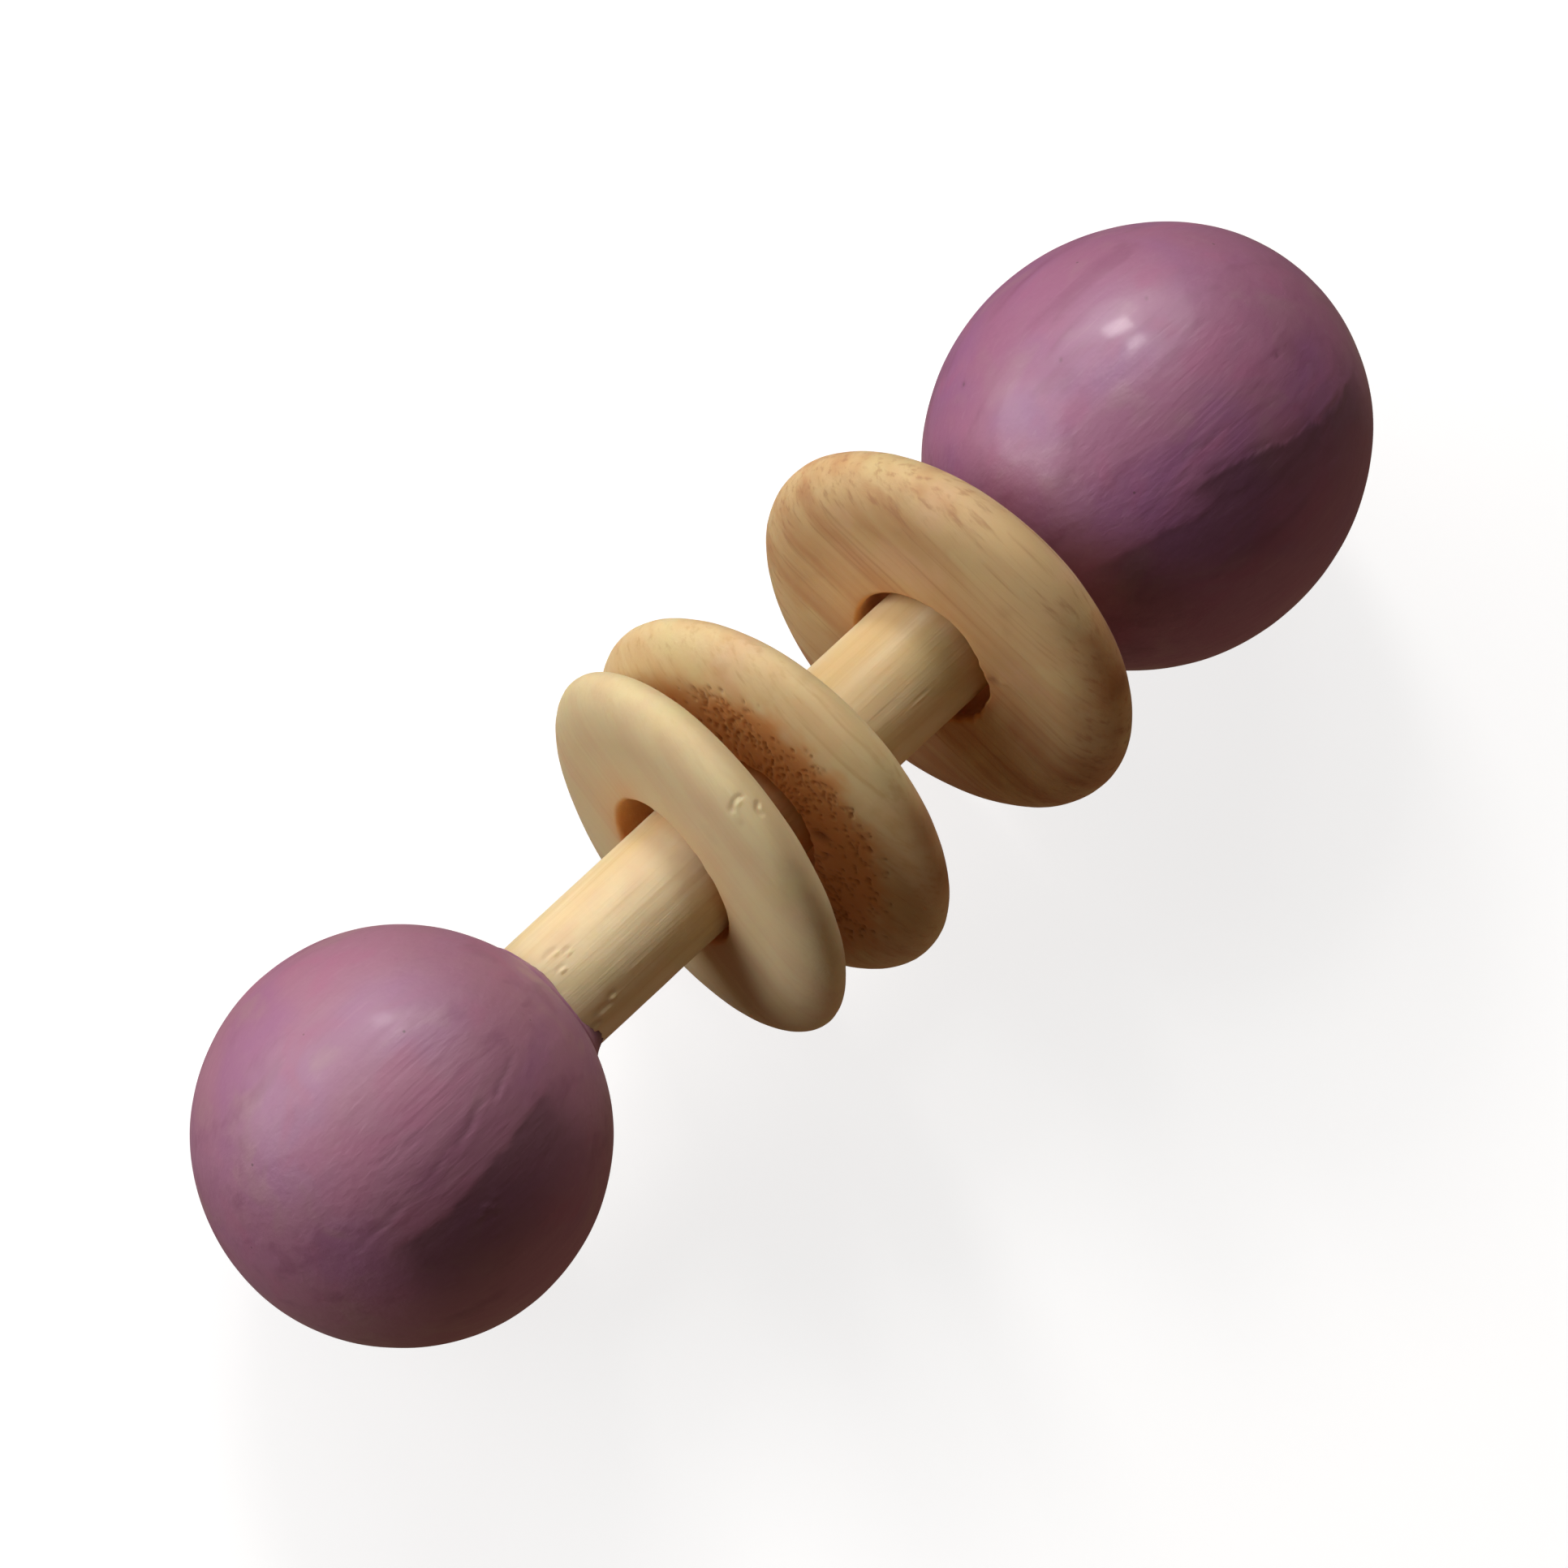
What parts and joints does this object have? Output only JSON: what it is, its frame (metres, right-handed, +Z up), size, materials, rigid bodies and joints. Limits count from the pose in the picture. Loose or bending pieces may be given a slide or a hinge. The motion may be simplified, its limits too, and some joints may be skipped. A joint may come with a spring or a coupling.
{
  "type": "baby rattle",
  "caption": "Dumbbell-shaped wooden baby rattle: a plain dowel handle with painted ball ends and loose wooden rings that slide and knock together.",
  "frame": {"origin": "under the middle of the rattle's bounding box, on the plane it lies on", "axes": "+X along the dowel from the small ball to the large ball, +Z up, +Y across"},
  "size_m": [0.142, 0.0416, 0.0417],
  "materials": {
    "dowel_wood": "bare sanded pale hardwood, satin",
    "ring_wood": "bare sanded pale hardwood, satin",
    "ball_paint": "brushed mauve paint on wood, satin"
  },
  "bodies": {
    "rattle": {"handle_dowel": "dowel_wood", "end_ball_small": "ball_paint", "end_ball_large": "ball_paint"},
    "ring_1": {"ring_1": "ring_wood"},
    "ring_2": {"ring_2": "ring_wood"},
    "ring_3": {"ring_3": "ring_wood"}
  },
  "joints": [
    {"name": "ring_1_slide", "type": "slide", "parent": "rattle", "child": "ring_1", "axis": [1, 0, 0], "range_m": [-0.0165, 0]},
    {"name": "ring_2_slide", "type": "slide", "parent": "rattle", "child": "ring_2", "axis": [1, 0, 0], "range_m": [0, 0.0075]},
    {"name": "ring_3_slide", "type": "slide", "parent": "rattle", "child": "ring_3", "axis": [1, 0, 0], "range_m": [-0.0075, 0.0005]}
  ]
}
